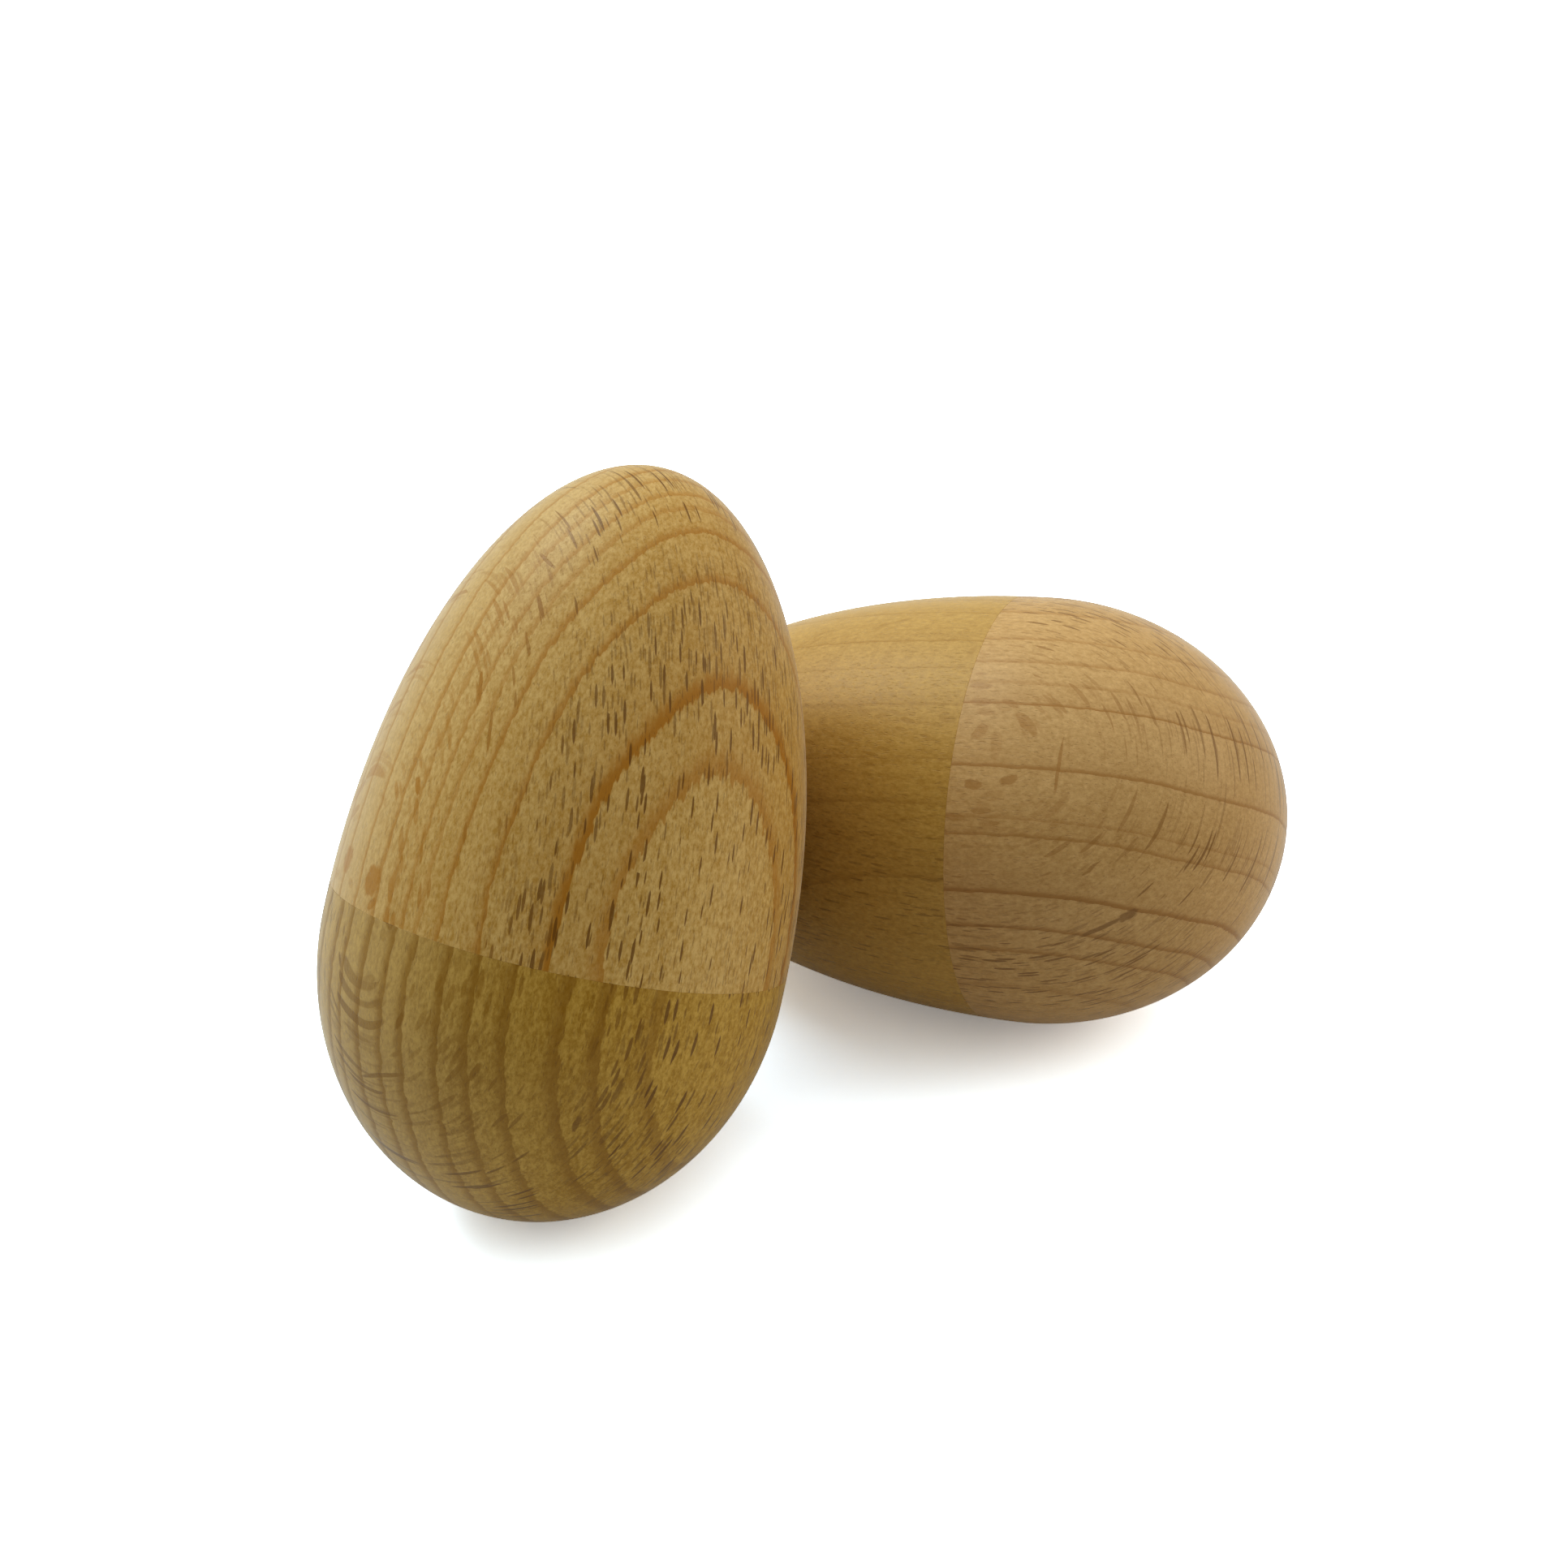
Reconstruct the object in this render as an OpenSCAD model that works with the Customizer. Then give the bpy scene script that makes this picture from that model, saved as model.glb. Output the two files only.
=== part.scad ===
// A pair of turned wooden egg shakers. One egg lies on its side, and the other
// stands on its blunt end and leans on it. Each egg is a base and a cap, hollowed
// out, joined by a glued spigot, and filled with loose steel beads.
// Millimetres. The pair stands on z = 0, with +X along the lying egg's axis, from
// its narrow end to its blunt end. The origin is below the middle of the pair.

/* [Egg] */
// Diameter at the widest section
egg_d = 45; // [40:1:52]
// Length of the blunt end, from the widest section
blunt_len = 26; // [23:0.5:30]
// Length of the narrow end, from the widest section
narrow_len = 48; // [42:0.5:54]
// Height of the seam above the widest section, towards the narrow end
seam_rise = 3; // [1:0.5:6]
// Thickness of the wooden wall
wall = 5; // [4:0.5:6]

/* [Glued joint] */
// Height of the base's spigot above the seam
spigot_h = 4; // [3:0.5:6]
// Thickness of the spigot's wall at the seam
spigot_wall = 2.4; // [2:0.1:2.6]
// Room for glue around and above the spigot
glue_gap = 0.05; // [0.02:0.01:0.15]
// Width of the broken edge around the seam, on each half
seam_break = 0.05; // [0.05:0.05:0.3]

/* [Beads] */
// Diameter of one steel bead
bead_d = 5; // [3:0.5:5]
// Clear room kept between a bead and the wood
bead_room = 0.3; // [0.2:0.05:0.5]

/* [Pose] */
// Angle of the leaning egg from upright
lean = 30.7; // [15:0.1:40]
// Heading of the leaning egg's narrow end, from +X
lean_heading = 81.8; // [60:0.1:110]
// Heading from the leaning egg's widest section to the lying egg's, from +X
place_heading = 48.6; // [40:0.1:60]
// Angle by which the lying egg's narrow end points down
lying_dip = 6.1; // [0:0.1:10]
// Gap left between the two eggs where they touch
touch_gap = 0.12; // [0.05:0.01:0.3]

/* [Hidden] */
$fn = 96;
egg_r = egg_d / 2;
// A hollow is the outside with each half axis less the wall
hollow_r = egg_r - wall;
hollow_blunt = blunt_len - wall;
hollow_narrow = narrow_len - wall;
spigot_r = hollow_r + spigot_wall;
spigot_top = seam_rise + spigot_h;
ARC_STEPS = 44;

// Radius of an egg-shaped surface at height z above its widest section
function egg_radius(z, r, blunt, narrow) =
    r * sqrt(max(0, 1 - pow(z / (z < 0 ? blunt : narrow), 2)));

// Outline points from height z0 to z1, closest together where the curve is tightest
function arc(z0, z1, r, blunt, narrow) = [
    for (i = [0:ARC_STEPS])
        let (
            t0 = asin(z0 / (z0 < 0 ? blunt : narrow)),
            t1 = asin(z1 / (z1 < 0 ? blunt : narrow)),
            t = t0 + (t1 - t0) * i / ARC_STEPS,
            z = sin(t) * (t < 0 ? blunt : narrow)
        )
        [i == 0 || i == ARC_STEPS ? egg_radius(i == 0 ? z0 : z1, r, blunt, narrow) : r * cos(t), z]
];

// Unit vector of an axis turned down from +Z by tilt, towards a heading
function axis_of(tilt, heading) =
    [sin(tilt) * cos(heading), sin(tilt) * sin(heading), cos(tilt)];

// How far an egg with this axis reaches from its widest section in direction n
function reach(n, axis) =
    let (
        along = n * axis,
        a = along < 0 ? blunt_len : narrow_len
    )
    sqrt(pow(a * along, 2) + pow(egg_r, 2) * (n * n - along * along));

lying_tilt = 90 + lying_dip;
LYING_HEADING = 180;
lying_axis = axis_of(lying_tilt, LYING_HEADING);
leaning_axis = axis_of(lean, lean_heading);
lying_z = reach([0, 0, -1], lying_axis);
leaning_z = reach([0, 0, -1], leaning_axis);

// Plan distance between the widest sections at which the eggs clear by touch_gap:
// the smallest that any plane between them allows
heading_vector = [cos(place_heading), sin(place_heading), 0];
place_distance = min([
    for (az = [place_heading - 50:1:place_heading + 50])
        for (el = [-50:1:20])
            let (n = [cos(el) * cos(az), cos(el) * sin(az), sin(el)])
            (touch_gap + reach(n, leaning_axis) + reach(-n, lying_axis) - n[2] * (lying_z - leaning_z))
                / (n * heading_vector)
]);
apart = place_distance * heading_vector;

// The lowest and highest corner of the pair, with the lying egg's widest section
// at x = y = 0, put the origin at the middle of the box that holds the pair
function far_side(n) = max(reach(n, lying_axis), reach(n, leaning_axis) - n * apart);
mid_x = (far_side([1, 0, 0]) - far_side([-1, 0, 0])) / 2;
mid_y = (far_side([0, 1, 0]) - far_side([0, -1, 0])) / 2;
lying_centre = [-mid_x, -mid_y, lying_z];
leaning_centre = [-mid_x - apart[0], -mid_y - apart[1], leaning_z];

// Where a bead's centre may be: the hollow, less the bead and its room
bead_inset = bead_d / 2 + bead_room;
bead_r = hollow_r - bead_inset;
bead_blunt = hollow_blunt - bead_inset;
bead_narrow = hollow_narrow - bead_inset;

// Lowest height, from the widest section, of a bead's centre at plan offset p
function bead_floor_in(p, axis, a) =
    let (
        k = 1 / pow(a, 2) - 1 / pow(bead_r, 2),
        s = p[0] * axis[0] + p[1] * axis[1],
        qa = k * pow(axis[2], 2) + 1 / pow(bead_r, 2),
        qb = 2 * k * s * axis[2],
        qc = k * s * s + (p[0] * p[0] + p[1] * p[1]) / pow(bead_r, 2) - 1
    )
    (-qb - sqrt(qb * qb - 4 * qa * qc)) / (2 * qa);
function bead_floor(p, axis) =
    let (z = bead_floor_in(p, axis, bead_narrow))
    p[0] * axis[0] + p[1] * axis[1] + z * axis[2] < 0 ? bead_floor_in(p, axis, bead_blunt) : z;

// Plan offset of the lowest place in the hollow
function bead_low(axis) =
    let (
        a = axis[2] > 0 ? bead_blunt : bead_narrow,
        depth = sqrt(pow(a * axis[2], 2) + pow(bead_r, 2) * (1 - pow(axis[2], 2))),
        k = -axis[2] * (a * a - bead_r * bead_r) / depth
    )
    [k * axis[0], k * axis[1]];

// Beads of the leaning egg: an inner ring and an outer ring around the lowest place
BEADS = 12;
INNER_RING = 3;
OUTER_RING = BEADS - INNER_RING;
inner_ring_r = 0.6 * bead_d;
outer_ring_r = 1.66 * bead_d;
function ring_spot(i) =
    i < INNER_RING
        ? inner_ring_r * [cos(360 * i / INNER_RING), sin(360 * i / INNER_RING)]
        : outer_ring_r * [cos(360 * i / OUTER_RING), sin(360 * i / OUTER_RING)];

// Beads of the lying egg: rows along its axis, on both sides of the lowest place
ROW = 4;
bead_pitch = 1.06 * bead_d;
function row_spot(i) = bead_pitch * [i % ROW - (ROW - 1) / 2, floor(i / ROW) - 1];

// Puts an egg, made upright around its widest section, in its place
module lying() {
    translate(lying_centre) rotate([0, lying_tilt, LYING_HEADING]) children();
}
module leaning() {
    translate(leaning_centre) rotate([0, lean, lean_heading]) children();
}

// The blunt half: a cup with a spigot around its mouth
module base_shell() {
    outside = arc(-blunt_len, seam_rise - seam_break, egg_r, blunt_len, narrow_len);
    inside = arc(spigot_top, -hollow_blunt, hollow_r, hollow_blunt, hollow_narrow);
    seam_r = egg_radius(seam_rise, egg_r, blunt_len, narrow_len) - seam_break;
    rotate_extrude()
        polygon(concat(
            outside,
            [[seam_r, seam_rise], [spigot_r, seam_rise], [spigot_r, spigot_top]],
            inside
        ));
}

// The narrow half: a cup with a counterbore for the spigot
module cap_shell() {
    step_z = spigot_top + glue_gap;
    bore_r = spigot_r + glue_gap;
    outside = arc(seam_rise + seam_break, narrow_len, egg_r, blunt_len, narrow_len);
    inside = arc(hollow_narrow, step_z, hollow_r, hollow_blunt, hollow_narrow);
    seam_r = egg_radius(seam_rise, egg_r, blunt_len, narrow_len) - seam_break;
    rotate_extrude()
        polygon(concat(
            [[bore_r, seam_rise], [seam_r, seam_rise]],
            outside,
            inside,
            [[bore_r, step_z]]
        ));
}

// Bead i of an egg, at a spot given from the lowest place of its hollow
module bead_at(spot, axis, centre) {
    p = bead_low(axis) + spot;
    color("silver")
        translate(centre + [p[0], p[1], bead_floor(p, axis)])
            sphere(d = bead_d);
}

module lying_base_shell() {
    color([0.78, 0.58, 0.40]) lying() base_shell();
}
module lying_cap_shell() {
    color([0.84, 0.66, 0.40]) lying() cap_shell();
}
module leaning_base_shell() {
    color([0.72, 0.55, 0.28]) leaning() base_shell();
}
module leaning_cap_shell() {
    color([0.80, 0.64, 0.42]) leaning() cap_shell();
}
module lying_bead(i) {
    bead_at(row_spot(i), lying_axis, lying_centre);
}
module leaning_bead(i) {
    bead_at(ring_spot(i), leaning_axis, leaning_centre);
}

function two_digits(n) = n < 10 ? str("0", n) : str(n);

lying_base_shell();
lying_cap_shell();
leaning_base_shell();
leaning_cap_shell();
for (i = [0:BEADS - 1]) {
    lying_bead(i);
    leaning_bead(i);
}
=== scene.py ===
"""Two turned beech egg shakers on a white table: one on its side, one leaning on it.

Each egg is a base and a cap, turned from two different pieces of beech, and each
half has its own solid wood: year rings around a pith, rays that run out from the
pith, and fibres. One procedural material makes all of it in three dimensions, so the
figure turns from flat sawn to quarter sawn to end grain round the egg, as it does in
a real blank. Lengths are in millimetres here, and become metres in the meshes.
"""

import math

import bmesh
import bpy
from mathutils import Matrix, Quaternion, Vector


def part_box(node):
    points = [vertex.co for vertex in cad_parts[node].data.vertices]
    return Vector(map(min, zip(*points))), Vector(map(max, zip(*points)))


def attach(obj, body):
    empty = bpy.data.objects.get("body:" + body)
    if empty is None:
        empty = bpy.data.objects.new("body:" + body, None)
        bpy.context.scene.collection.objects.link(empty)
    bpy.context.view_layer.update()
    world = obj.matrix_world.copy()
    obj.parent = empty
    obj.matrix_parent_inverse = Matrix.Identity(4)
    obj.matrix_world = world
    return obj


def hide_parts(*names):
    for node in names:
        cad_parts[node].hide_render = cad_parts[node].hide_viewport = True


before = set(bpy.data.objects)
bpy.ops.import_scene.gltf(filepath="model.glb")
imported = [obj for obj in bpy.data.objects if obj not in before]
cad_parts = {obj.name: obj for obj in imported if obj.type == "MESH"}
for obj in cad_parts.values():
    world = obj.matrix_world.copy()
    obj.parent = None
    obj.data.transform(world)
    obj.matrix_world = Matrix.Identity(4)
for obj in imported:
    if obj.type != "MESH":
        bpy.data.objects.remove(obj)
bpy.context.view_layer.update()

MM = 0.001

# ---------------------------------------------------------------- sizes of an egg
EGG_R = 22.5  # radius at the widest section
BLUNT = 26.0  # from there to the blunt end
NARROW = 48.0  # and to the narrow end
WALL = 5.0
SEAM_Z = 3.0  # heights are above the widest section
SEAM_EDGE = 0.02  # each half's broken edge at the seam; the CAD's 0.05 shows as a groove
SPIGOT_WALL = 2.4
SPIGOT_HEIGHT = 4.0
SPIGOT_R = EGG_R - WALL + SPIGOT_WALL
SPIGOT_TOP = SEAM_Z + SPIGOT_HEIGHT
GLUE_GAP = 0.05
OUTER_STEPS = 84
INNER_STEPS = 36
SEGMENTS = 208
ON_AXIS = 1e-6  # an outline point nearer to the axis than this is a pole
SHARP_EDGE = math.radians(30)


def egg_radius(z):
    """Radius of the egg at height z above the widest section."""
    half = BLUNT if z < 0 else NARROW
    return EGG_R * math.sqrt(max(0.0, 1 - (z / half) ** 2))


def arc(z0, z1, steps, wall=0.0):
    """Points (radius, z) of the egg's outline, or of its hollow's, from z0 to z1."""

    def angle(z):
        return math.asin(max(-1.0, min(1.0, z / ((BLUNT if z < 0 else NARROW) - wall))))

    points = []
    for i in range(steps + 1):
        a = angle(z0) + (angle(z1) - angle(z0)) * i / steps
        z = math.sin(a) * ((BLUNT if a < 0 else NARROW) - wall)
        points.append((max(0.0, (EGG_R - wall) * math.cos(a)), z))
    return points


def base_outline():
    """The blunt half: a cup with a spigot round its mouth."""
    seam_r = egg_radius(SEAM_Z) - SEAM_EDGE
    joint = [(seam_r, SEAM_Z), (SPIGOT_R, SEAM_Z), (SPIGOT_R, SPIGOT_TOP)]
    outside = arc(-BLUNT, SEAM_Z - SEAM_EDGE, OUTER_STEPS)
    inside = arc(SPIGOT_TOP, -(BLUNT - WALL), INNER_STEPS, WALL)
    return outside + joint + inside


def cap_outline():
    """The narrow half: a cup with a counterbore for the spigot."""
    bore_r = SPIGOT_R + GLUE_GAP
    step_z = SPIGOT_TOP + GLUE_GAP
    seam_r = egg_radius(SEAM_Z) - SEAM_EDGE
    outside = arc(SEAM_Z + SEAM_EDGE, NARROW, OUTER_STEPS)
    inside = arc(NARROW - WALL, step_z, INNER_STEPS, WALL)
    mouth = [(bore_r, step_z), (bore_r, SEAM_Z), (seam_r, SEAM_Z)]
    return outside + inside + mouth


# ------------------------------------------------------------ where the eggs are
class Egg:
    """One egg's place: its axes in the row frame and the centre of its widest section."""

    def __init__(self, name, tilt, heading):
        self.name = name
        turn = Matrix.Rotation(math.radians(heading), 3, "Z")
        self.turn = turn @ Matrix.Rotation(math.radians(tilt), 3, "Y")
        axis = self.turn @ Vector((0, 0, 1))
        low, high = egg_box(name)
        self.centre = Vector(
            (
                (low[i] + self.reach(axis, i, -1) + high[i] - self.reach(axis, i, 1)) / 2
                for i in range(3)
            )
        )

    @staticmethod
    def reach(axis, i, side):
        """How far the egg reaches from its centre along coordinate i, to one side."""
        along = axis[i] * side
        half = NARROW if along > 0 else BLUNT
        return math.sqrt((half * along) ** 2 + EGG_R**2 * (1 - along**2))


def egg_box(name):
    """The box of an egg's two halves in the frame, in millimetres."""
    boxes = [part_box(f"{name}_{half}_shell") for half in ("base", "cap")]
    low = [min(b[0][i] for b in boxes) / MM for i in range(3)]
    high = [max(b[1][i] for b in boxes) / MM for i in range(3)]
    return low, high


LYING = Egg("lying", tilt=96.1, heading=180)
LEANING = Egg("leaning", tilt=30.7, heading=81.8)


def turned(name, outline, egg):
    """A solid of revolution of the closed outline, built in the row frame."""
    mesh = bpy.data.meshes.new(name)
    bm = bmesh.new()

    def corner(radius, k, z):
        angle = 2 * math.pi * k / SEGMENTS
        local = Vector((radius * math.cos(angle), radius * math.sin(angle), z))
        return bm.verts.new((egg.turn @ local + egg.centre) * MM)

    loops = []
    for radius, z in outline:
        count = 1 if radius < ON_AXIS else SEGMENTS
        loops.append([corner(radius, k, z) for k in range(count)])
    for here, there in zip(loops, loops[1:] + loops[:1]):
        if len(here) == len(there) == 1:
            continue
        for k in range(SEGMENTS):
            after = (k + 1) % SEGMENTS
            if len(here) == 1:
                bm.faces.new((here[0], there[after], there[k]))
            elif len(there) == 1:
                bm.faces.new((here[k], here[after], there[0]))
            else:
                bm.faces.new((here[k], here[after], there[after], there[k]))
    bmesh.ops.recalc_face_normals(bm, faces=bm.faces)
    for edge in bm.edges:
        edge.smooth = edge.calc_face_angle(0.0) < SHARP_EDGE
    for face in bm.faces:
        face.smooth = True
    bm.to_mesh(mesh)
    bm.free()
    piece = bpy.data.objects.new(name, mesh)
    bpy.context.scene.collection.objects.link(piece)
    return piece


# --------------------------------------------------------------------- materials
class Tree:
    """Adds nodes to a material or world. A value is a number, a tuple or an output."""

    def __init__(self, owner):
        owner.use_nodes = True
        self.owner = owner
        self.nodes = owner.node_tree.nodes
        self.links = owner.node_tree.links
        self.shader = self.nodes.get("Principled BSDF")

    def feed(self, socket, value):
        if isinstance(value, bpy.types.NodeSocket):
            self.links.new(value, socket)
        else:
            socket.default_value = value

    def add(self, kind, inputs, **settings):
        node = self.nodes.new(kind)
        for name, value in settings.items():
            setattr(node, name, value)
        for key, value in inputs.items():
            self.feed(node.inputs[key], value)
        return node

    def math(self, operation, a, b=0.0, c=0.0):
        node = self.add("ShaderNodeMath", {0: a, 1: b, 2: c}, operation=operation)
        return node.outputs[0]

    def scaled(self, vector, size):
        """The vector with each coordinate divided by that size."""
        by = tuple(1 / s for s in size)
        node = self.add("ShaderNodeVectorMath", {0: vector, 1: by}, operation="MULTIPLY")
        return node.outputs[0]

    def vector(self, x, y, z):
        return self.add("ShaderNodeCombineXYZ", {0: x, 1: y, 2: z}).outputs[0]

    def ramp(self, value, low, high, to_low=0.0, to_high=1.0, smooth=True):
        """value mapped from low..high to to_low..to_high and held beyond them."""
        node = self.add(
            "ShaderNodeMapRange",
            {"Value": value, "From Min": low, "From Max": high, "To Min": to_low, "To Max": to_high},
            interpolation_type="SMOOTHSTEP" if smooth else "LINEAR",
        )
        return node.outputs["Result"]

    def noise(self, vector, size, detail=2.0, roughness=0.5):
        """Noise from about 0.25 to 0.75, of that size in each coordinate."""
        node = self.add(
            "ShaderNodeTexNoise",
            {
                "Vector": self.scaled(vector, size),
                "Scale": 1.0,
                "Detail": detail,
                "Roughness": roughness,
            },
        )
        return node.outputs["Fac"]

    def swing(self, vector, size, amount, detail=2.0, roughness=0.5):
        """The same noise moved to lie about zero, and multiplied by amount."""
        noise = self.noise(vector, size, detail, roughness)
        return self.math("MULTIPLY", self.math("SUBTRACT", noise, 0.5), amount)

    def bump(self, strength, distance, height):
        node = self.add(
            "ShaderNodeBump", {"Strength": strength, "Distance": distance * MM, "Height": height}
        )
        self.feed(self.shader.inputs["Normal"], node.outputs["Normal"])

    def mix(self, factor, a, b):
        """Colour a where factor is 0, and colour b where it is 1."""
        node = self.add("ShaderNodeMix", {"Factor": factor}, data_type="RGBA")
        for socket, colour in ((node.inputs[6], a), (node.inputs[7], b)):
            known = not isinstance(colour, bpy.types.NodeSocket)
            self.feed(socket, (*colour, 1.0) if known else colour)
        return node.outputs[2]


# Sizes of the noises, in millimetres: outwards from the pith, round it, along the fibres
WANDER_SIZE = (30, 9, 22)  # year rings wander
RAGGED_SIZE = (3, 0.4, 1.8)  # and their edges are ragged
DRIFT_SIZE = (14, 7, 30)  # the tone drifts over the blank
STREAK_SIZE = (0.8, 0.7, 12)
FINE_SIZE = (0.36, 0.33, 0.65)
PORE_SIZE = (0.12, 0.12, 0.9)
WAVE_SIZE = (9, 12, 16)  # rays are wavy sheets

# pale cream by the pith: partly real pale wood, partly painted light on the sides of the eggs that
# face the top lamp
PALE_WOOD_AND_PAINTED_LIGHT = (0.60, 0.46, 0.265)
PALE_FROM = -8.0  # the colour is palest inwards of this place
PALE_TO = 14.0  # and no paler than its own colour outwards of this one

# Places on the blank are in millimetres outwards from the egg's axis
RING_SPAN = 25.0  # the ramp of rings covers this far each way
WIDEST_YEAR = 10.0  # is 1 in the ramp
RING_STEP = 0.05  # the ramp starts a new year within this
YEAR_VARIES = 0.2  # steady years differ by up to this share
YEAR_TURN = 2.4  # radians of the sine from one year to the next
LINE_SHARE = 0.72  # of a ring, the share that is its line; the rest fades inwards


def ring_lines(wood):
    """Where each year ends, as (millimetres from the egg's axis, strength of its line).

    From the bark side inwards: the years given one by one, then years of a steady width.
    """
    edge = wood["outermost_ring"]
    lines = []
    for width, strength in wood["years"]:
        lines.append((edge, strength))
        edge -= width
    width, strength = wood["steady_year"]
    while edge > -EGG_R:
        lines.append((edge, strength))
        edge -= width * (1 + YEAR_VARIES * math.sin(YEAR_TURN * len(lines)))
    return lines


def year_rings(tree, radius, lines):
    """Distance to the next ring boundary outwards, in millimetres, and its strength."""
    inner = -RING_SPAN
    corners = []
    for outer, strength in sorted(lines) + [(RING_SPAN, 0.0)]:
        corners.append((inner + RING_STEP, (outer - inner) / WIDEST_YEAR, strength))
        corners.append((outer, 0.0, strength))
        inner = outer
    along_ramp = tree.ramp(radius, -RING_SPAN, RING_SPAN, smooth=False)
    ramp = tree.add("ShaderNodeValToRGB", {"Fac": along_ramp})
    stops = ramp.color_ramp.elements
    stops.remove(stops[1])
    for i, (r, left, strength) in enumerate(corners):
        position = (r + RING_SPAN) / (2 * RING_SPAN)
        stop = stops.new(position) if i else stops[0]
        stop.position = position
        stop.color = (left, strength, 0.0, 1.0)
    split = tree.add("ShaderNodeSeparateColor", {"Color": ramp.outputs["Color"]})
    return tree.math("MULTIPLY", split.outputs[0], WIDEST_YEAR), split.outputs[1]


RAY_THIN, RAY_THICK = 0.32, 0.50  # how far rays reach from their middle, in spacings
RAY_EDGE = 0.10  # how soft their edges are, in spacings
STRONG_RAYS = 0.35  # of the rays that show, the share at full strength
BOLD_PLACE, FAINT_PLACE = 3.7, 11.3  # moves that keep the two sets of rays apart
FAINT_SIZE = (0.8, 0.7, 0.6)  # of the bold rays' size
FAINT_SHARE = 0.6
FAINT_STRENGTH = 0.5
RADIAL_FADE = 0.35  # rays are this much weaker where the surface cuts along them
FLECK_REACH = 2.5  # how deep a fleck goes into the wood
FLECK_FULL, FLECK_END = 0.7, 1.05  # where a fleck starts to fade and ends, in half sizes
FLECK_UNEVEN = 0.6


def rays(tree, polar, size, share, move):
    """Rays of wood: thin upright sheets that run out from the pith.

    size is their spacing outwards, across and along; share is how many show.
    """
    moved = tree.add("ShaderNodeVectorMath", {0: polar, 1: (move,) * 3}, operation="ADD")
    spaced = tree.scaled(moved.outputs[0], size)
    cells = tree.add(
        "ShaderNodeTexVoronoi", {"Vector": spaced, "Scale": 1.0, "Randomness": 1.0}
    )
    luck = tree.add("ShaderNodeSeparateColor", {"Color": cells.outputs["Color"]})
    chosen = tree.ramp(luck.outputs[0], 1 - share, 1 - share * STRONG_RAYS, smooth=False)
    reach = tree.ramp(luck.outputs[1], 0.0, 1.0, RAY_THIN, RAY_THICK, smooth=False)
    depth = tree.math("SUBTRACT", reach, cells.outputs["Distance"])
    return tree.math("MULTIPLY", tree.ramp(depth, 0.0, RAY_EDGE), chosen)


def fleck(tree, spot, axes, mark):
    """One broad ray that shows as a spot or a long dash on the surface.

    A mark is its azimuth and height on the egg, length, width, slant and strength. The
    slant is in degrees from upright, with the top towards the lower azimuth.
    """
    azimuth, height, length, width, slant, strength = mark
    angle = math.radians(azimuth)
    lean = math.radians(slant)
    up = Vector((0, 0, 1))
    outward = Vector((math.cos(angle), math.sin(angle), 0.0))
    beside = Vector((-math.sin(angle), math.cos(angle), 0.0))
    short_way = beside * math.cos(lean) + up * math.sin(lean)
    long_way = up * math.cos(lean) - beside * math.sin(lean)
    turn = Matrix((short_way, long_way, -outward)).transposed()
    near = tree.add(
        "ShaderNodeMapping",
        {
            "Vector": spot,
            "Location": axes @ (outward * egg_radius(height) + up * height),
            "Rotation": (axes @ turn).to_euler(),
            "Scale": (width / 2, length / 2, FLECK_REACH),
        },
        vector_type="TEXTURE",
    ).outputs[0]
    away = tree.add("ShaderNodeVectorMath", {0: near}, operation="LENGTH").outputs["Value"]
    uneven = tree.swing(near, (0.5,) * 3, FLECK_UNEVEN, 1.0)
    return tree.ramp(tree.math("ADD", away, uneven), FLECK_FULL, FLECK_END, strength, 0.0)


def blank_axes(wood):
    """Rows away from the pith, across and along the fibres, in the egg's own frame."""
    azimuth = math.radians(wood["ring_azimuth"])
    out = Vector((math.cos(azimuth), math.sin(azimuth), 0.0))
    fibre = (out * wood["fibre_lean"] + Vector((0, 0, 1))).normalized()
    out = (out - fibre * out.dot(fibre)).normalized()
    return Matrix((out, fibre.cross(out), fibre))


def around_pith(tree, spot, pith):
    """Places outwards from the egg's axis, round the pith and along the fibres."""
    x, y, z = tree.add("ShaderNodeSeparateXYZ", {"Vector": spot}).outputs
    from_pith = tree.math("ADD", x, pith)
    square = tree.math("MULTIPLY_ADD", from_pith, from_pith, tree.math("MULTIPLY", y, y))
    radius = tree.math("SUBTRACT", tree.math("SQRT", square), pith)
    round_pith = tree.math("MULTIPLY", tree.math("ARCTAN2", y, from_pith), pith)
    return radius, round_pith, z


def late_wood(tree, radius, polar, wood):
    """Year rings: a line at the end of each year, and a band that fades inwards of it."""
    wander = tree.swing(polar, WANDER_SIZE, 1.0, 1.0)
    ragged = tree.swing(polar, RAGGED_SIZE, wood["ragged"])
    shaken = tree.math("ADD", radius, tree.math("ADD", wander, ragged))
    inward, strength = year_rings(tree, shaken, ring_lines(wood))
    width = wood["late_width"]
    line = tree.ramp(inward, width * 0.25, width * 1.2, 1.0, 0.0)
    band = tree.math("EXPONENT", tree.math("DIVIDE", inward, -4 * width))
    faded = tree.math("MULTIPLY", band, 1 - LINE_SHARE)
    return tree.math("MULTIPLY", tree.math("MULTIPLY_ADD", line, LINE_SHARE, faded), strength)


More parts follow.
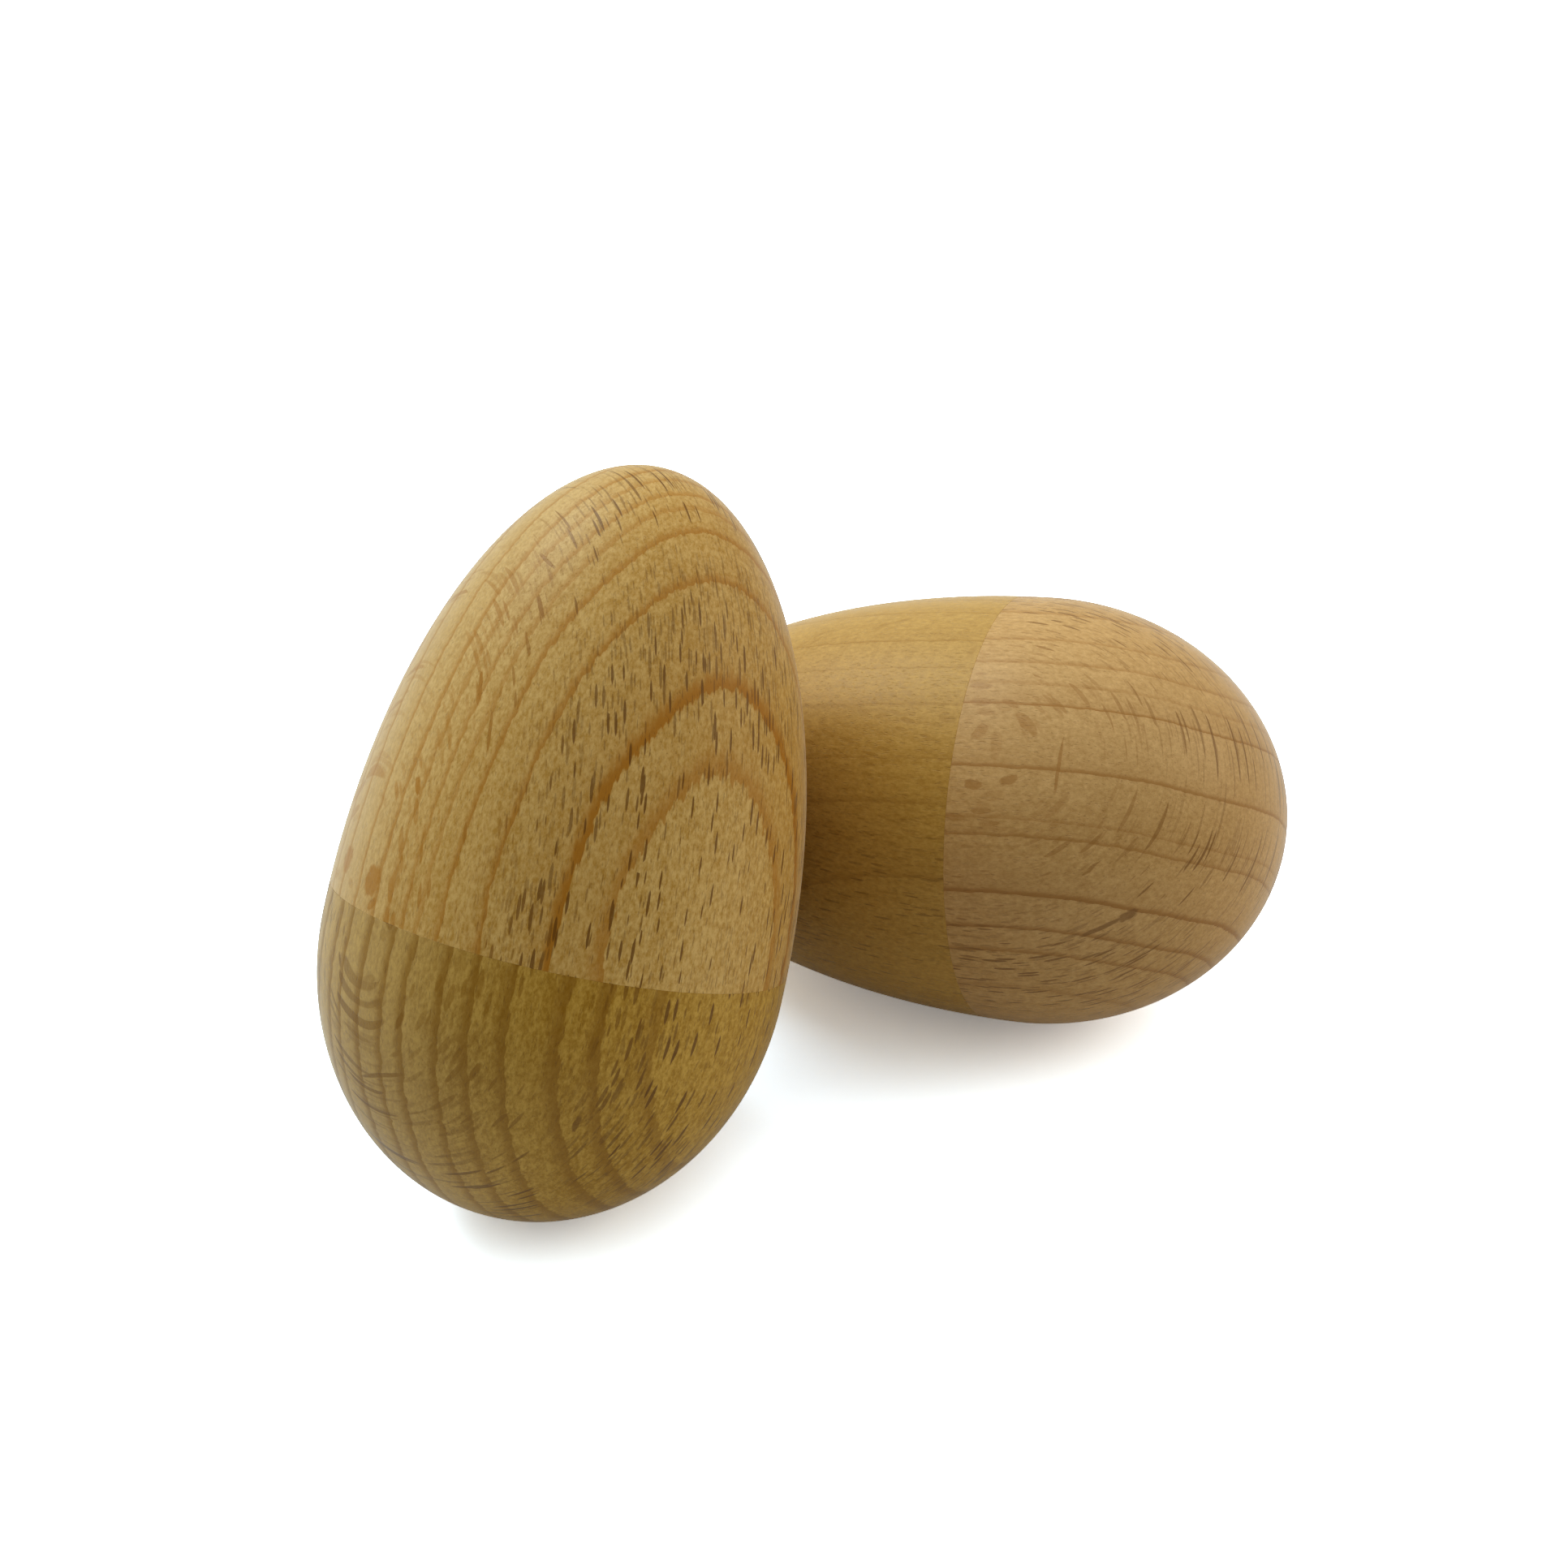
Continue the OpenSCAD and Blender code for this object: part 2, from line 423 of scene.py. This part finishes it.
def early_wood(tree, radius, polar, fine, wood):
    """The ground colour: a slow drift, fine streaks and mottling, and paler by the pith, which is
    partly real pale wood and partly painted light on the sides that face the top lamp.
    """
    drift = tree.swing(polar, DRIFT_SIZE, 0.9)
    streak = tree.swing(polar, STREAK_SIZE, wood["streak"], 3.0, 0.65)
    mottle = tree.math("MULTIPLY", tree.math("SUBTRACT", fine, 0.5), wood["mottle"])
    tone = tree.math("ADD", tree.math("ADD", drift, streak), mottle)
    colour = tree.mix(tree.ramp(tone, -0.8, 0.8, smooth=False), wood["dark"], wood["light"])
    # painted light as well as pale wood: the side towards the pith, paled here, faces the top lamp
    inside = tree.ramp(radius, PALE_FROM, PALE_TO, wood["pale_wood_and_painted_light"], 0.0)
    return tree.mix(inside, colour, PALE_WOOD_AND_PAINTED_LIGHT)


def ray_figure(tree, polar, radial_face, wood):
    """Two sets of random rays, weaker where the surface cuts along them."""
    bold = rays(tree, polar, wood["ray_size"], wood["ray_share"], BOLD_PLACE)
    faint_size = tuple(s * f for s, f in zip(wood["ray_size"], FAINT_SIZE))
    faint = rays(tree, polar, faint_size, FAINT_SHARE, FAINT_PLACE)
    ray = tree.math("MAXIMUM", bold, tree.math("MULTIPLY", faint, FAINT_STRENGTH))
    return tree.math("MULTIPLY", ray, tree.math("MULTIPLY_ADD", radial_face, -RADIAL_FADE, 1.0))


def sanded_finish(tree, fine, ray, pores):
    """Fine sanding with a thin wax: rays are smoother than the rest, and pores are open."""
    roughness = tree.math("MULTIPLY_ADD", fine, 0.22, 0.34)
    roughness = tree.math("MULTIPLY_ADD", ray, -0.08, roughness)
    tree.feed(tree.shader.inputs["Roughness"], roughness)
    height = tree.math("MULTIPLY_ADD", pores, -0.6, tree.math("MULTIPLY", fine, 0.5))
    tree.bump(0.5, 0.05, tree.math("MULTIPLY_ADD", ray, -0.35, height))
    tree.shader.inputs["IOR"].default_value = 1.5
    tree.shader.inputs["Specular IOR Level"].default_value = 0.25
    tree.shader.inputs["Sheen Weight"].default_value = 0.3
    tree.shader.inputs["Sheen Roughness"].default_value = 0.25


def beech(name, egg, wood):
    """Beech as a solid: every colour comes from the place in the blank it is cut from."""
    tree = Tree(bpy.data.materials.new(name))
    axes = blank_axes(wood)
    to_wood = axes @ egg.turn.transposed()
    coordinates = tree.add("ShaderNodeTexCoord", {})
    spot = tree.add(
        "ShaderNodeMapping",
        {
            "Vector": coordinates.outputs["Object"],
            "Scale": (1 / MM,) * 3,
            "Rotation": to_wood.to_euler(),
            "Location": -(to_wood @ egg.centre),
        },
        vector_type="POINT",
    ).outputs[0]
    radius, round_pith, along = around_pith(tree, spot, wood["pith"])
    polar = tree.vector(radius, round_pith, along)
    fine = tree.noise(polar, FINE_SIZE, 2.0, 0.75)
    colour = early_wood(tree, radius, polar, fine, wood)
    colour = tree.mix(late_wood(tree, radius, polar, wood), colour, wood["late"])

    # 1 where the surface cuts along the rays, 0 where it cuts across them
    across = egg.turn @ axes[1]
    facing = tree.add(
        "ShaderNodeVectorMath", {0: coordinates.outputs["Normal"], 1: across}, operation="DOT_PRODUCT"
    ).outputs["Value"]
    radial_face = tree.ramp(tree.math("ABSOLUTE", facing), 0.6, 1.0)
    wave = tree.swing(polar, WAVE_SIZE, 0.5, 1.0)
    wavy = tree.vector(radius, tree.math("ADD", round_pith, wave), along)
    ray = ray_figure(tree, wavy, radial_face, wood)
    for mark in wood["marks"]:
        ray = tree.math("MAXIMUM", ray, fleck(tree, spot, axes, mark))
    ray_colour = tree.mix(radial_face, wood["ray"], wood["late"])
    colour = tree.mix(tree.math("MULTIPLY", ray, wood["ray_depth"]), colour, ray_colour)

    pores = tree.ramp(tree.noise(polar, PORE_SIZE, 1.0), 0.60, 0.74)
    colour = tree.mix(tree.math("MULTIPLY", pores, 0.25), colour, wood["ray"])
    tree.feed(tree.shader.inputs["Base Color"], colour)
    sanded_finish(tree, fine, ray, pores)
    return tree.owner


# The four blanks. ring_azimuth points away from the pith, round the egg's own axis, and
# pith is how far off it is. years are (width, strength of the line that ends it), from
# the outermost one inwards; steady_year stands for all further in. marks are flecks.
WOODS = {
    "leaning_cap": {
        "ring_azimuth": -115.0,
        "fibre_lean": -0.045,
        "pith": 130.0,
        "outermost_ring": 21,
        "years": [(2, 0.7), (4, 1), (3, 0.8), (2, 0.75), (1.5, 0.5), (2, 0.6), (2, 0.5), (3, 0.6)],
        "steady_year": (3.5, 0.6),
        "light": (0.62, 0.408, 0.148),
        "dark": (0.455, 0.256, 0.053),
        # the pale side of this half faces the top lamp, so its paleness is partly painted light
        "pale_wood_and_painted_light": 0.5,
        "late": (0.4, 0.172, 0.012),
        "ray": (0.16, 0.066, 0.005),
        "ray_size": (12.0, 0.28, 2.9),
        "ray_share": 0.42,
        "ray_depth": 0.8,
        "late_width": 0.65,
        "ragged": 0.6,
        "mottle": 4.6,
        "streak": 1.6,
        "marks": [
            (-217, 6.5, 2.8, 2.3, 0, 0.8),
            (-202, 6, 3.2, 2.6, 0, 0.9),
            (-200, 4, 1.6, 0.9, -35, 0.8),
            (-196, 15.5, 2, 0.8, 30, 0.9),
            (-188, 25.5, 3.4, 0.5, 25, 1),
            (-180, 33.5, 2.8, 0.5, 42, 1),
            (-180, 22, 4.2, 0.4, 15, 0.9),
            (-187, 37.5, 3, 0.4, 70, 0.9),
        ],
    },
    "leaning_base": {
        "ring_azimuth": -80.0,
        "fibre_lean": 0.02,
        "pith": 45.0,
        "outermost_ring": 18.5,
        "years": [(3, 0.5)],
        "steady_year": (3, 0.7),
        "light": (0.54, 0.33, 0.066),
        "dark": (0.37, 0.198, 0.017),
        # as on the cap, this paleness is partly painted light on the side towards the top lamp
        "pale_wood_and_painted_light": 0.35,
        "late": (0.27, 0.124, 0.003),
        "ray": (0.14, 0.056, 0.003),
        "ray_size": (12.0, 0.3, 3.1),
        "ray_share": 0.5,
        "ray_depth": 0.8,
        "late_width": 1.1,
        "ragged": 0.8,
        "mottle": 4.8,
        "streak": 2.4,
        "marks": [
            (-184, -5, 2, 0.7, -20, 0.9),
            (-163, -7.5, 2.2, 0.7, -20, 0.9),
            (-136, -10.5, 2, 0.7, -5, 0.9),
            (-190, -11, 7, 0.5, -70, 0.8),
        ],
    },
    "lying_base": {
        "ring_azimuth": 44.0,
        "fibre_lean": 0.06,
        "pith": 300.0,
        "outermost_ring": 20.5,
        "years": [
            (3, 0.5), (2, 0.8), (3, 0.9), (5, 1), (1.5, 0.7),
            (5, 0.5), (6.5, 0.8), (2.5, 1), (2.5, 0.35),
        ],
        "steady_year": (3.5, 0.5),
        "light": (0.61, 0.38, 0.157),
        "dark": (0.46, 0.262, 0.086),
        "pale_wood_and_painted_light": 0.1,
        "late": (0.37, 0.18, 0.044),
        "ray": (0.21, 0.092, 0.016),
        "ray_size": (12.0, 0.28, 2.9),
        "ray_share": 0.5,
        "ray_depth": 0.7,
        "late_width": 0.5,
        "ragged": 0.3,
        "mottle": 3.4,
        "streak": 1.4,
        "marks": [
            (129, 0.5, 2, 1.2, 0, 0.9),
            (131, -3, 2, 1.1, 25, 0.9),
            (148, 0.5, 2.2, 0.9, 0, 0.5),
            (146, -3.5, 1.9, 0.9, -50, 0.8),
            (136, -7.5, 6, 0.4, 90, 0.9),
            (91, -12, 5.2, 0.6, 22, 1),
            (94, -14.5, 2.2, 1.1, 30, 1),
        ],
    },
    "lying_cap": {
        "ring_azimuth": 70.0,
        "fibre_lean": 0.0,
        "pith": 300.0,
        "outermost_ring": 19,
        "years": [],
        "steady_year": (4.5, 0.4),
        "light": (0.54, 0.323, 0.08),
        "dark": (0.41, 0.224, 0.039),
        "pale_wood_and_painted_light": 0.15,
        "late": (0.31, 0.148, 0.016),
        "ray": (0.19, 0.084, 0.01),
        "ray_size": (12.0, 0.26, 2.2),
        "ray_share": 0.28,
        "ray_depth": 0.45,
        "late_width": 0.4,
        "ragged": 0.4,
        "mottle": 3.6,
        "streak": 1.6,
        "marks": [],
    },
}


STEEL_DARK = (0.42, 0.41, 0.40)
STEEL_LIGHT = (0.60, 0.59, 0.57)


def steel(name):
    """Drawn steel beads: dull from tumbling in a wooden chamber."""
    tree = Tree(bpy.data.materials.new(name))
    spot = tree.add("ShaderNodeTexCoord", {}).outputs["Object"]
    wear = tree.noise(spot, (1.5 * MM,) * 3, 3.0)
    scuff = tree.noise(spot, (0.2 * MM, 0.2 * MM, 1.2 * MM), 2.0)
    colour = tree.mix(tree.ramp(wear, 0.35, 0.65), STEEL_DARK, STEEL_LIGHT)
    tree.feed(tree.shader.inputs["Base Color"], colour)
    tree.feed(tree.shader.inputs["Roughness"], tree.math("MULTIPLY_ADD", scuff, 0.3, 0.15))
    tree.bump(0.3, 0.01, scuff)
    tree.shader.inputs["Metallic"].default_value = 1.0
    return tree.owner


# ----------------------------------------------------------------- the two eggs
for egg in (LYING, LEANING):
    for half, outline in (("base", base_outline()), ("cap", cap_outline())):
        name = f"{egg.name}_{half}"
        piece = turned(f"{name}_wood", outline, egg)
        piece.data.materials.append(beech(f"{name}_beech", egg, WOODS[name]))
        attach(piece, f"{egg.name}_egg")
        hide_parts(f"{name}_shell")

BEAD_STEEL = steel("bead_steel")
for name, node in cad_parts.items():
    if "_bead_" in name:
        for slot in node.material_slots:
            slot.material = BEAD_STEEL


# ------------------------------------------------------------- table and lights
FLOOR_HALF = 1500.0
FLOOR_BOUNCE = 0.85  # how much light the floor throws back at the eggs
FLOOR_DARK = (1.95, 2.15, 2.40)  # its colours to the camera only, which clip to white
FLOOR_LIGHT = (2.01, 2.21, 2.46)
FLOOR_GLOW = 0.24  # light of its own, to the camera only, that thins the shadows
floor_mesh = bpy.data.meshes.new("floor")
floor_mesh.from_pydata(
    [Vector((x, y, 0)) * FLOOR_HALF * MM for x, y in ((-1, -1), (1, -1), (1, 1), (-1, 1))],
    [],
    [(0, 1, 2, 3)],
)
floor = bpy.data.objects.new("floor", floor_mesh)
bpy.context.scene.collection.objects.link(floor)
paper = Tree(bpy.data.materials.new("white_table"))
paper_tone = paper.noise(paper.add("ShaderNodeTexCoord", {}).outputs["Object"], (0.3,) * 3, 1.0)
seen_colour = paper.mix(paper_tone, FLOOR_DARK, FLOOR_LIGHT)
seen_directly = paper.add("ShaderNodeLightPath", {}).outputs["Is Camera Ray"]
paper_colour = paper.mix(seen_directly, (FLOOR_BOUNCE,) * 3, seen_colour)
paper.feed(paper.shader.inputs["Base Color"], paper_colour)
paper.shader.inputs["Roughness"].default_value = 0.9
paper.shader.inputs["Specular IOR Level"].default_value = 0.1
paper.shader.inputs["Emission Color"].default_value = (1, 1, 1, 1)
glow = paper.math("MULTIPLY", seen_directly, FLOOR_GLOW)
paper.feed(paper.shader.inputs["Emission Strength"], glow)
floor.data.materials.append(paper.owner)


LIT_POINT = Vector((0, 0, 30))  # both lamps aim at it


def softbox(name, location, size, power, colour):
    """A square area light that looks at the pair."""
    light = bpy.data.lights.new(name, "AREA")
    light.shape = "SQUARE"
    light.size = size * MM
    light.energy = power
    light.color = colour
    lamp = bpy.data.objects.new(name, light)
    lamp.location = Vector(location) * MM
    aim = LIT_POINT * MM - lamp.location
    lamp.rotation_euler = aim.to_track_quat("-Z", "Y").to_euler()
    bpy.context.scene.collection.objects.link(lamp)


softbox("top_light", (-420, 150, 600), size=400, power=3.35, colour=(0.80, 0.93, 1.0))
softbox("right_fill", (463, 188, 250), size=300, power=0.65, colour=(1.0, 0.93, 0.80))

# A light tent: white above and all round, with a dark opening on the camera's side.
# It is warm near the table and cool above, and plain white where the camera sees it.
VIEW_AZIMUTH = 22.1
TENT_TOP = 0.66
TENT_SIDE = 0.66
TENT_OPENING = 0.05
TENT_LOW_COLOUR = (1.0, 0.95, 0.87)
TENT_HIGH_COLOUR = (0.88, 0.96, 1.0)
BACKDROP = 1.1  # how bright the camera sees it
world = bpy.data.worlds.new("studio")
bpy.context.scene.world = world
tent = Tree(world)
direction = tent.add("ShaderNodeTexCoord", {}).outputs["Generated"]
opening = math.radians(VIEW_AZIMUTH)
to_opening = (math.sin(opening), -math.cos(opening), 0.0)
facing = tent.add("ShaderNodeVectorMath", {0: direction, 1: to_opening}, operation="DOT_PRODUCT")
height = tent.add("ShaderNodeSeparateXYZ", {"Vector": direction}).outputs[2]
side = tent.ramp(facing.outputs["Value"], -0.1, 0.7, TENT_SIDE, TENT_OPENING)
strength = tent.math("ADD", side, tent.ramp(height, 0.2, 0.95, 0.0, TENT_TOP))
seen = tent.add("ShaderNodeLightPath", {}).outputs["Is Camera Ray"]
strength = tent.math("MAXIMUM", strength, tent.math("MULTIPLY", seen, BACKDROP))
tent_colour = tent.mix(tent.ramp(height, -0.1, 0.8), TENT_LOW_COLOUR, TENT_HIGH_COLOUR)
background = tent.nodes["Background"]
tent.feed(background.inputs["Color"], tent.mix(seen, tent_colour, (1, 1, 1)))
tent.feed(background.inputs["Strength"], strength)
bpy.context.scene.view_settings.view_transform = "Standard"
bpy.context.scene.view_settings.gamma = 0.82  # the photo's contrast


# ------------------------------------------------------------------------ camera
AIM = Vector((-3.6, -0.25, 35.7))
VIEW_ELEVATION = 34.0
VIEW_ROLL = -2.0
DISTANCE = 237.0
LENS = 55.1
SENSOR = 36.0
NEAREST = 10.0  # the camera's clip start
azimuth, elevation = math.radians(VIEW_AZIMUTH), math.radians(VIEW_ELEVATION)
back = Vector(
    (
        math.sin(azimuth) * math.cos(elevation),
        -math.cos(azimuth) * math.cos(elevation),
        math.sin(elevation),
    )
)
camera = bpy.data.objects.new("camera", bpy.data.cameras.new("camera"))
camera.data.lens = LENS
camera.data.sensor_width = SENSOR
camera.data.clip_start = NEAREST * MM
camera.location = (AIM + back * DISTANCE) * MM
camera.rotation_mode = "QUATERNION"
roll = Quaternion((0, 0, 1), math.radians(VIEW_ROLL))
camera.rotation_quaternion = (-back).to_track_quat("-Z", "Y") @ roll
bpy.context.scene.collection.objects.link(camera)
bpy.context.scene.camera = camera
